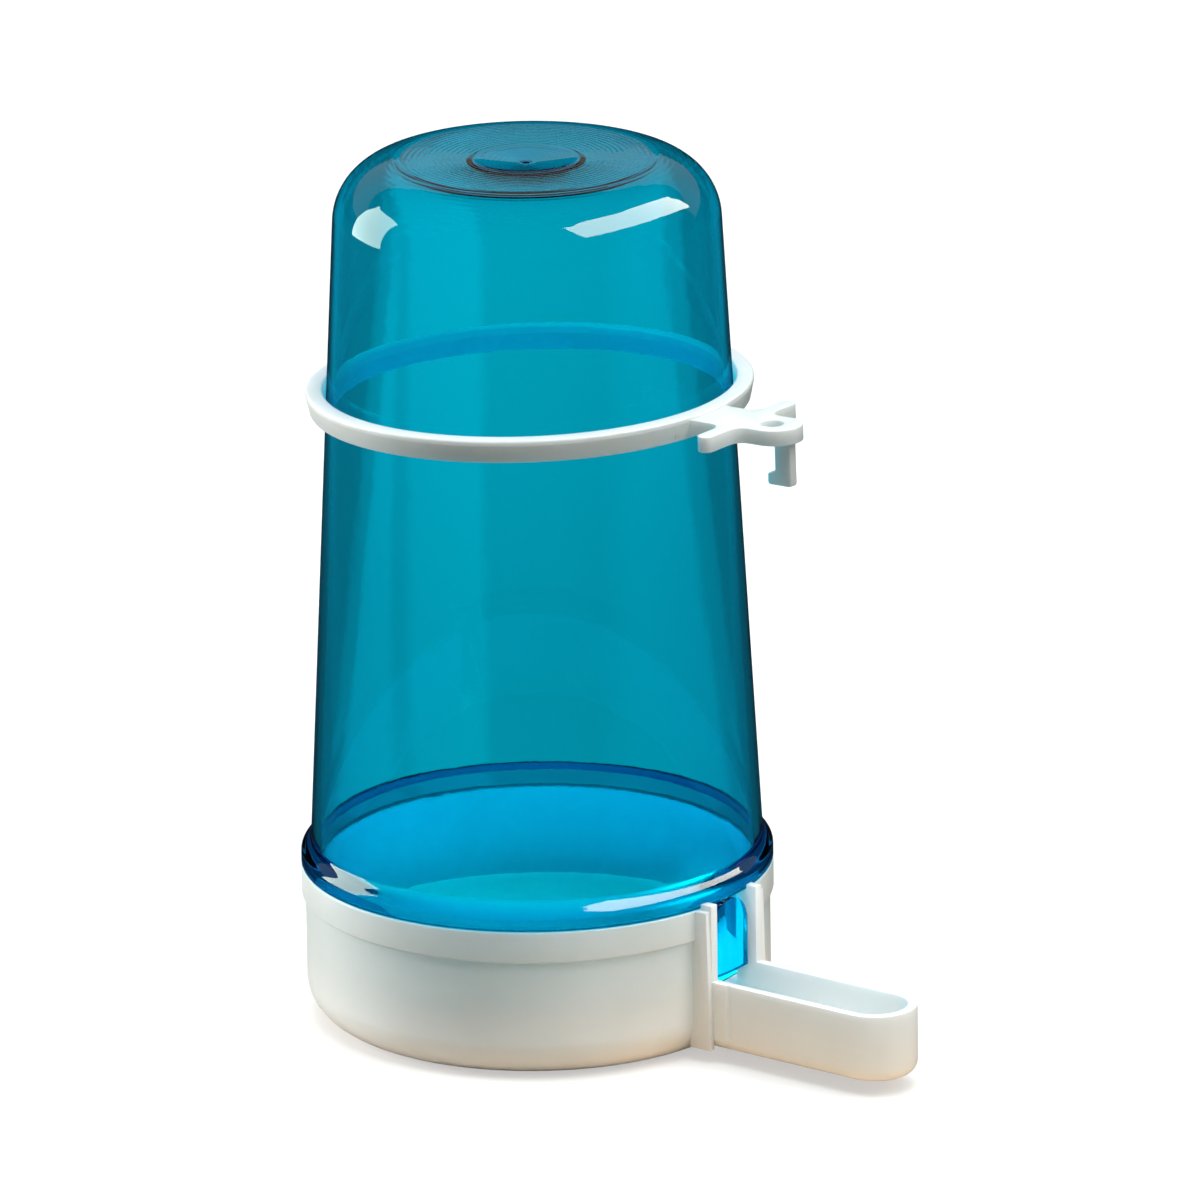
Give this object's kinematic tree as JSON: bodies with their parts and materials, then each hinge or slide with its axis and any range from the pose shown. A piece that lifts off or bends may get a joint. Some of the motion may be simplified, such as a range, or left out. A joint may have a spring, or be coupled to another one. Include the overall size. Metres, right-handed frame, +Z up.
{
  "type": "bird water fountain",
  "caption": "Siphon drinker for cage birds: a clear blue bottle stands upside down in a white tray with a drinking trough, and a sliding ring with a wire hook holds it to the cage.",
  "frame": {"origin": "Middle of the tray's underside, on the bottle's axis.", "axes": "+Z up along the bottle, -Y out along the drinking trough and the cage hook, +X to the right as seen from the trough."},
  "size_m": [0.104, 0.1527, 0.1945],
  "materials": {
    "white_plastic": "smooth opaque white injection-moulded plastic",
    "blue_plastic": "clear blue transparent injection-moulded plastic, polished"
  },
  "bodies": {
    "base": {"base_tray": "white_plastic"},
    "bottle": {"reservoir": "blue_plastic"},
    "ring": {"hanger_ring": "white_plastic"}
  },
  "joints": [
    {"name": "bottle_lift", "type": "slide", "parent": "base", "child": "bottle", "axis": [0, 0, 1], "range_m": [0, 0.06]},
    {"name": "ring_slide", "type": "slide", "parent": "bottle", "child": "ring", "axis": [0, 0, 1], "range_m": [0, 0.065]}
  ]
}
